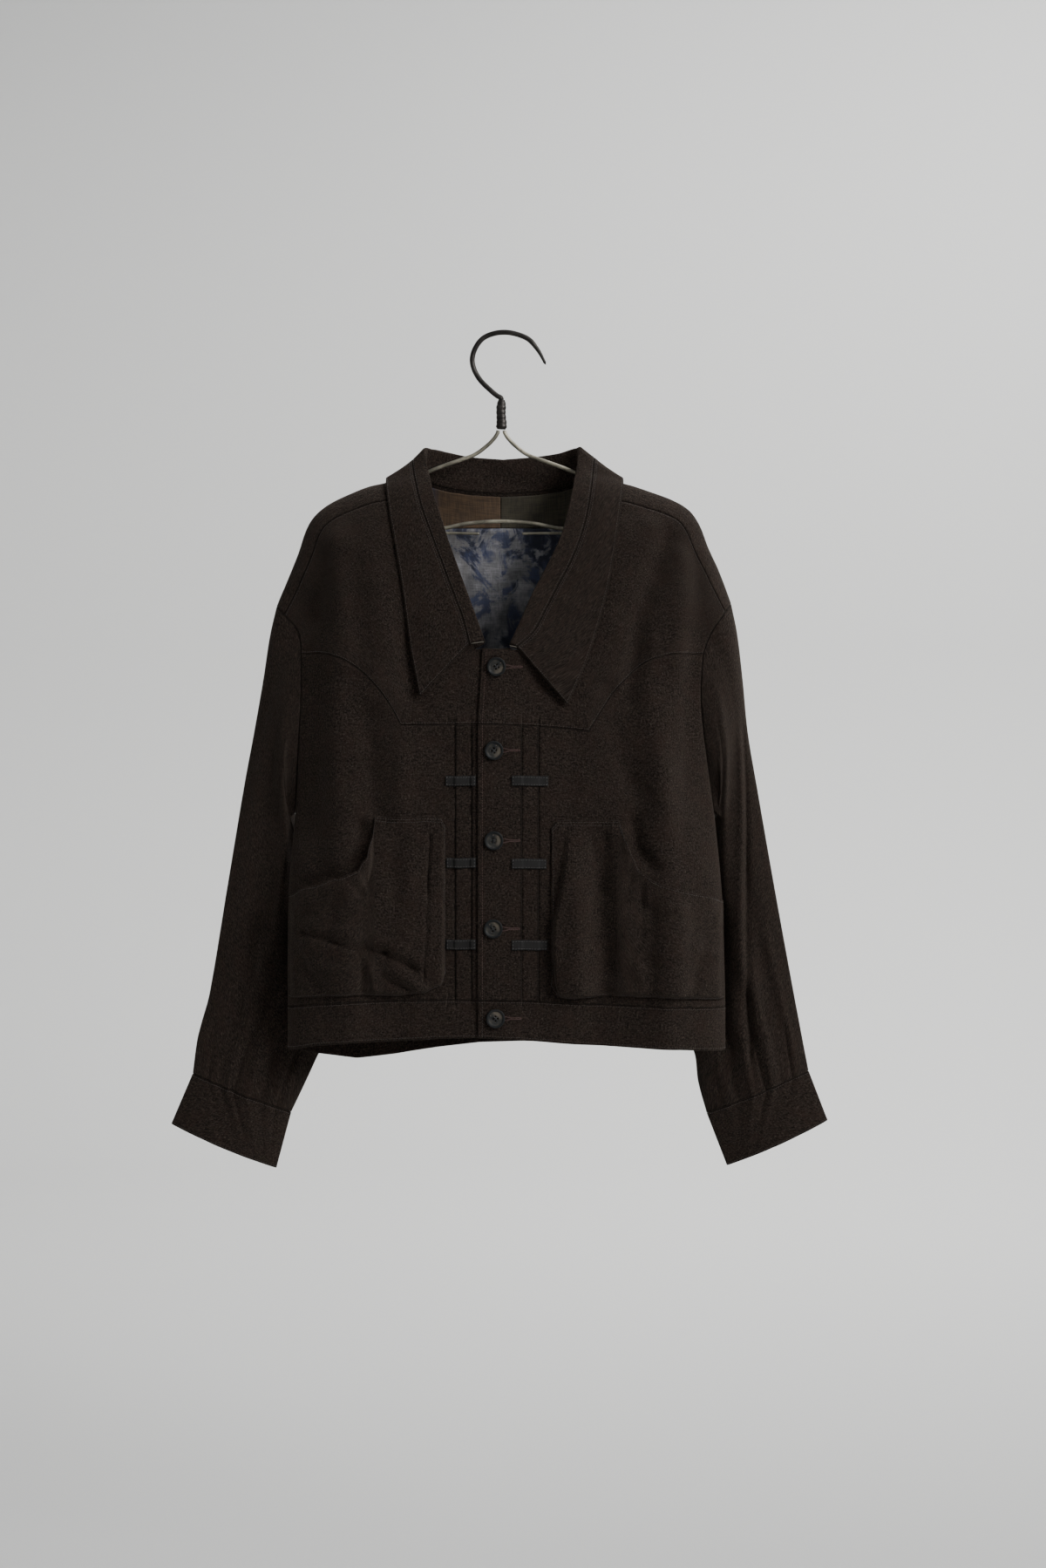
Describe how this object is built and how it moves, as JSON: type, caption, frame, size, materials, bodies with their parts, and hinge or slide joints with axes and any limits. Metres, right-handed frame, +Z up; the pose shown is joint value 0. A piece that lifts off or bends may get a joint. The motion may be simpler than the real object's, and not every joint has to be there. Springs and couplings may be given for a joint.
{
  "type": "work jacket on a wire hanger",
  "caption": "Cropped dark brown work jacket with curved yokes, pressed tucks, ribbon tabs and patch pockets, hanging open-necked and buttoned on a wire hanger.",
  "frame": {"origin": "the top of the inside of the hanger's hook, where it rests on a nail or rail", "axes": "+Z up, the jacket's front faces -Y, +X towards the wearer's left"},
  "size_m": [0.706, 0.1123, 0.8993],
  "materials": {
    "wool": "coarse dark brown woven wool, matt, slightly fuzzy",
    "ribbon": "grey grosgrain ribbon, stitched along both edges",
    "lining": "printed cotton in cream, grey and navy blotches",
    "facing_brown": "orange-brown plain cloth",
    "facing_olive": "olive plain cloth",
    "button": "dark slate horn look with pale marbling, semi-gloss",
    "hook_steel": "dark blackened steel",
    "wire": "dull olive-brass wire"
  },
  "bodies": {
    "root": {"front_right": "wool", "front_left": "wool", "yoke_right": "wool", "yoke_left": "wool", "back": "wool", "waistband": "wool", "collar_band": "wool", "collar_leaf": "wool", "sleeve_right": "wool", "sleeve_left": "wool", "cuff_right": "wool", "cuff_left": "wool", "pocket_right": "wool", "pocket_left": "wool", "tab_right_1": "ribbon", "tab_right_2": "ribbon", "tab_right_3": "ribbon", "tab_left_1": "ribbon", "tab_left_2": "ribbon", "tab_left_3": "ribbon", "facing_brown": "facing_brown", "facing_olive": "facing_olive", "back_lining": "lining", "button_1": "button", "button_2": "button", "button_3": "button", "button_4": "button", "button_5": "button", "hanger_hook": "hook_steel", "hanger_joint": "hook_steel", "hanger_frame": "wire"}
  },
  "joints": []
}
